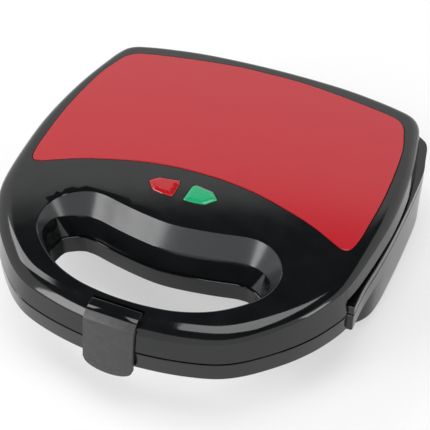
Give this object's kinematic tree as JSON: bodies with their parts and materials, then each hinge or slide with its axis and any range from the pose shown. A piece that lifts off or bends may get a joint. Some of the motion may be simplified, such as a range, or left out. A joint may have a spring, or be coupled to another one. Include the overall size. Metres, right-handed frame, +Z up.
{
  "type": "sandwich maker",
  "caption": "Closed countertop sandwich maker: hinged glossy lid with a red cover plate, looped front handle with a finger opening, front latch, pocketed plates.",
  "frame": {"origin": "on the ground under the middle of the overall size", "axes": "+Y from the handle to the hinge, +Z up, +X to the right seen from the handle"},
  "size_m": [0.229, 0.2487, 0.0693],
  "materials": {
    "gloss_black": "polished black moulding",
    "satin_grey": "satin dark grey moulding",
    "matt_black": "matt black moulding",
    "red_enamel": "glossy red enamel on sheet",
    "red_lens": "clear red moulding",
    "green_lens": "clear green moulding",
    "non_stick": "cast plate with a dark non-stick coat",
    "steel": "plain steel",
    "sheet_aluminium": "thin bright sheet",
    "heater_sheath": "heat-darkened tube",
    "ceramic": "off-white insulating body",
    "lamp_glass": "small glass bulb",
    "foot_rubber": "black rubber",
    "brown_wire": "insulated lead",
    "blue_wire": "insulated lead"
  },
  "bodies": {
    "base": {"base_shell": "gloss_black", "base_handle_cover": "matt_black", "bottom_cover": "matt_black", "foot_back_left": "foot_rubber", "foot_back_right": "foot_rubber", "foot_front_left": "foot_rubber", "foot_front_right": "foot_rubber", "lower_cooking_plate": "non_stick", "lower_heating_element": "heater_sheath", "lower_heater_clamp_left": "steel", "lower_heater_clamp_right": "steel", "lower_heat_shield": "sheet_aluminium", "thermostat": "steel", "thermal_fuse": "ceramic", "terminal_block": "ceramic", "base_lead_left": "blue_wire", "base_lead_right": "brown_wire", "cord_gland": "matt_black", "hinge_pin_left": "steel", "hinge_pin_right": "steel", "base_handle_screw_left": "steel", "base_handle_screw_right": "steel", "cover_screw_back_left": "steel", "cover_screw_back_right": "steel", "cover_screw_front_left": "steel", "cover_screw_front_right": "steel"},
    "lid": {"lid_shell": "gloss_black", "lid_frame": "gloss_black", "lid_handle_cover": "matt_black", "cover_plate": "red_enamel", "red_lamp_lens": "red_lens", "green_lamp_lens": "green_lens", "lamp_holder": "satin_grey", "red_neon_lamp": "lamp_glass", "green_neon_lamp": "lamp_glass", "upper_cooking_plate": "non_stick", "upper_heating_element": "heater_sheath", "upper_heater_clamp_left": "steel", "upper_heater_clamp_right": "steel", "upper_heat_shield": "sheet_aluminium", "lid_lead_left": "blue_wire", "lid_lead_right": "brown_wire", "frame_screw_back_left": "steel", "frame_screw_back_right": "steel", "frame_screw_front_left": "steel", "frame_screw_front_right": "steel", "lid_handle_screw_left": "steel", "lid_handle_screw_right": "steel", "latch_pin": "steel"},
    "latch": {"latch": "satin_grey"}
  },
  "joints": [
    {"name": "lid_hinge", "type": "hinge", "parent": "base", "child": "lid", "pos_m": [0, 0.11995, 0.044], "axis": [-1, 0, 0], "range_deg": [0, 100]},
    {"name": "latch_pivot", "type": "hinge", "parent": "lid", "child": "latch", "pos_m": [0, -0.11385, 0.0563], "axis": [-1, 0, 0], "range_deg": [0, 20]}
  ]
}
